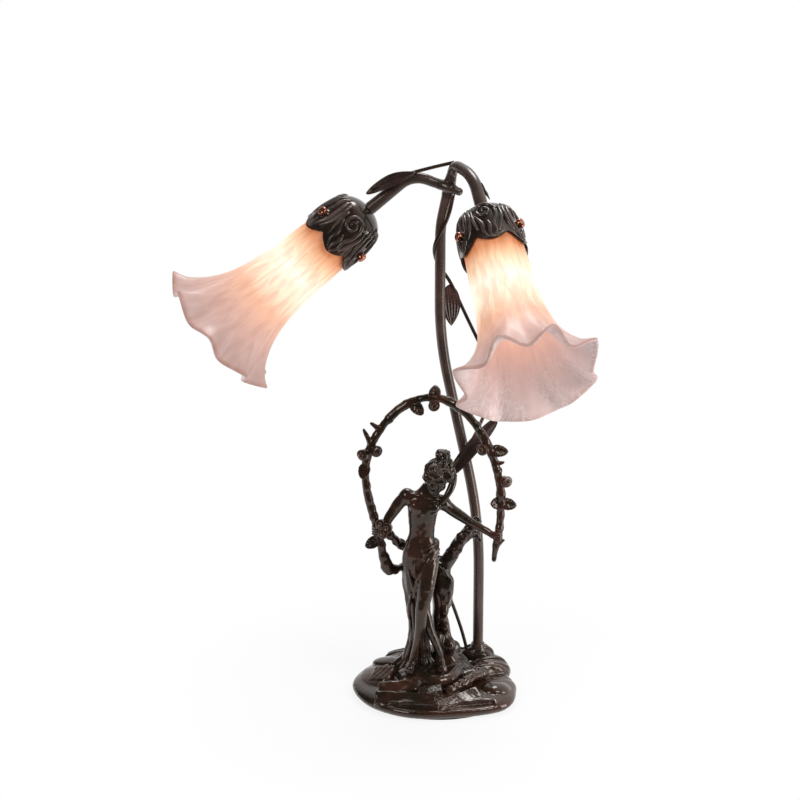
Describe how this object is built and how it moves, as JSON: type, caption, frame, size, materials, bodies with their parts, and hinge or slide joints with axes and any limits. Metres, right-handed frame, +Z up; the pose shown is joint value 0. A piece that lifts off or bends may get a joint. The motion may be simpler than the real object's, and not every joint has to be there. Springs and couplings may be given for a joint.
{
  "type": "lily table lamp",
  "caption": "Art nouveau table lamp: a bronze maiden with a twig hoop stands on a rock base before a curved stem whose arms carry frosted pink lily glass shades.",
  "frame": {"origin": "on the table, under the middle of the base", "axes": "+Z up, +X to the right of someone facing the lamp, +Y away from them"},
  "size_m": [0.3263, 0.2516, 0.4316],
  "materials": {
    "bronze_casting": "satin",
    "bronzed_tube": "satin",
    "copper_screw": "polished",
    "socket_brass": "satin",
    "plain_steel": "satin",
    "felt": "matte",
    "dark_plastic": "matte",
    "socket_phenolic": "matte",
    "frosted_glass": "frosted",
    "bulb_glass": "frosted"
  },
  "bodies": {
    "lamp": {"base_casting": "bronze_casting", "crown_knuckle": "bronze_casting", "figure_body": "bronze_casting", "figure_left_arm": "bronze_casting", "figure_right_arm": "bronze_casting", "tree_trunk": "bronze_casting", "wreath_hoop": "bronze_casting", "wreath_roses": "bronze_casting", "wreath_leaves": "bronze_casting", "vine_stem_wire": "bronze_casting", "vine_crown_wire": "bronze_casting", "vine_leaves": "bronze_casting", "stem_tube": "bronzed_tube", "stem_foot_collar": "bronzed_tube", "base_cover_plate": "plain_steel", "cover_screws": "plain_steel", "stem_lock_nut": "plain_steel", "figure_bolts": "plain_steel", "base_felt": "felt", "cord_inlet_bush": "dark_plastic", "stem_lead": "dark_plastic", "left_arm": "bronzed_tube", "left_holder": "bronze_casting", "left_lead": "dark_plastic", "left_nipple": "socket_brass", "left_holder_nut": "plain_steel", "left_socket_body": "socket_phenolic", "left_socket_shell": "socket_brass", "left_socket_contact": "socket_brass", "right_arm": "bronzed_tube", "right_holder": "bronze_casting", "right_lead": "dark_plastic", "right_nipple": "socket_brass", "right_holder_nut": "plain_steel", "right_socket_body": "socket_phenolic", "right_socket_shell": "socket_brass", "right_socket_contact": "socket_brass"},
    "left_shade": {"left_shade": "frosted_glass"},
    "left_bulb": {"left_bulb": "bulb_glass", "left_bulb_cap": "socket_brass"},
    "left_thumbscrew_1": {"left_thumbscrew_1": "copper_screw"},
    "left_thumbscrew_2": {"left_thumbscrew_2": "copper_screw"},
    "left_thumbscrew_3": {"left_thumbscrew_3": "copper_screw"},
    "right_shade": {"right_shade": "frosted_glass"},
    "right_bulb": {"right_bulb": "bulb_glass", "right_bulb_cap": "socket_brass"},
    "right_thumbscrew_1": {"right_thumbscrew_1": "copper_screw"},
    "right_thumbscrew_2": {"right_thumbscrew_2": "copper_screw"},
    "right_thumbscrew_3": {"right_thumbscrew_3": "copper_screw"}
  },
  "joints": [
    {"name": "left_shade_slide", "type": "slide", "parent": "lamp", "child": "left_shade", "axis": [-0.7748, -0.061, -0.6293], "range_m": [0, 0.1]},
    {"name": "left_bulb_turn", "type": "hinge", "parent": "lamp", "child": "left_bulb", "pos_m": [-0.05, 0.034, 0.3924], "axis": [-0.7748, -0.061, -0.6293], "range_deg": [0, 1440]},
    {"name": "left_thumbscrew_1_slide", "type": "slide", "parent": "lamp", "child": "left_thumbscrew_1", "axis": [-0.5354, -0.4661, 0.7043], "range_m": [0, 0.005]},
    {"name": "left_thumbscrew_2_slide", "type": "slide", "parent": "lamp", "child": "left_thumbscrew_2", "axis": [-0.0235, 0.9974, -0.0677], "range_m": [0, 0.005]},
    {"name": "left_thumbscrew_3_slide", "type": "slide", "parent": "lamp", "child": "left_thumbscrew_3", "axis": [0.5589, -0.5314, -0.6366], "range_m": [0, 0.005]},
    {"name": "right_shade_slide", "type": "slide", "parent": "lamp", "child": "right_shade", "axis": [0.2011, -0.7507, -0.6293], "range_m": [0, 0.1]},
    {"name": "right_bulb_turn", "type": "hinge", "parent": "lamp", "child": "right_bulb", "pos_m": [0.0354, -0.02, 0.4054], "axis": [0.2011, -0.7507, -0.6293], "range_deg": [0, 1440]},
    {"name": "right_thumbscrew_1_slide", "type": "slide", "parent": "lamp", "child": "right_thumbscrew_1", "axis": [0.7982, -0.2468, 0.5495], "range_m": [0, 0.005]},
    {"name": "right_thumbscrew_2_slide", "type": "slide", "parent": "lamp", "child": "right_thumbscrew_2", "axis": [-0.8909, -0.4073, 0.2011], "range_m": [0, 0.005]},
    {"name": "right_thumbscrew_3_slide", "type": "slide", "parent": "lamp", "child": "right_thumbscrew_3", "axis": [0.0927, 0.6542, -0.7507], "range_m": [0, 0.005]}
  ]
}
